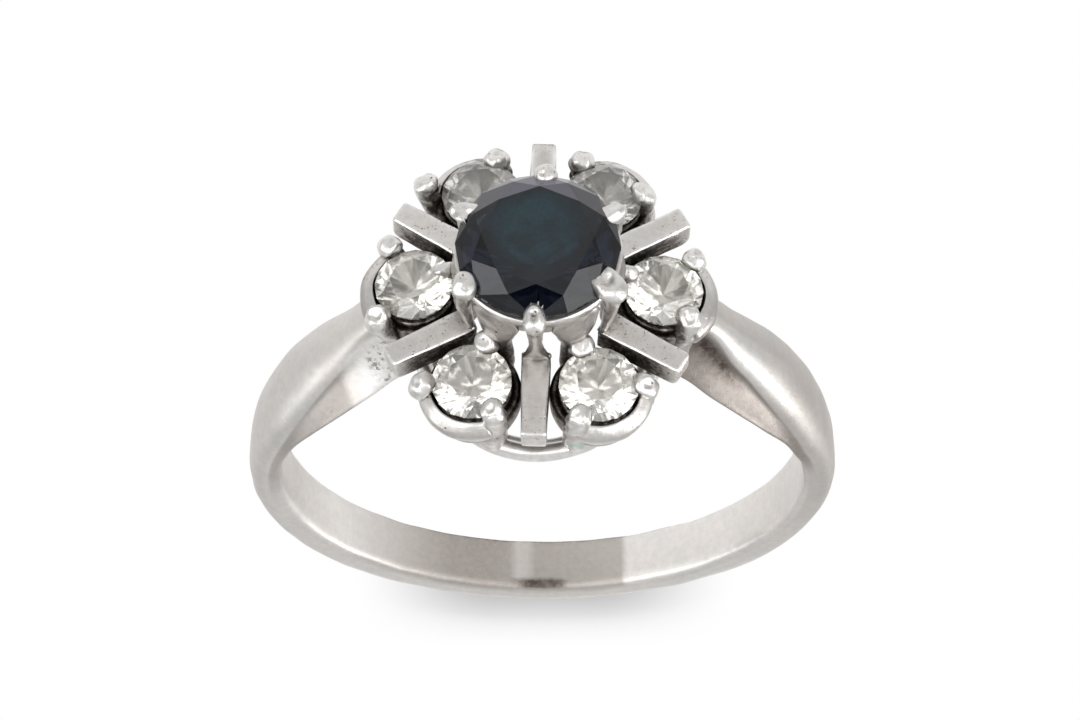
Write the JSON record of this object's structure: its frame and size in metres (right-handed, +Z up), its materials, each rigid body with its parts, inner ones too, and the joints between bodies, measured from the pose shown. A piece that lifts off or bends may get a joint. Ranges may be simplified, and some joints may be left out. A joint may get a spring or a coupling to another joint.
{
  "type": "cluster ring",
  "caption": "White-metal finger ring with a raised round head: a dark blue centre stone, small clear brilliants round it, flat bars between them, and a tapering shank.",
  "frame": {"origin": "on the ground under the middle of the ring as it lies on its side", "axes": "+X across the finger hole, +Y from the head towards the back of the band, +Z up; the finger's axis leans 11.6 degrees from +Z towards +Y"},
  "size_m": [0.0194, 0.0242, 0.01],
  "materials": {
    "white_gold": "worn satin with tarnish in the recesses",
    "dark_blue_stone": "polished facets",
    "clear_stone": "polished facets"
  },
  "bodies": {
    "root": {"ring_mount": "white_gold", "center_stone": "dark_blue_stone", "side_stone_1": "clear_stone", "side_stone_2": "clear_stone", "side_stone_3": "clear_stone", "side_stone_4": "clear_stone", "side_stone_5": "clear_stone", "side_stone_6": "clear_stone"}
  },
  "joints": []
}
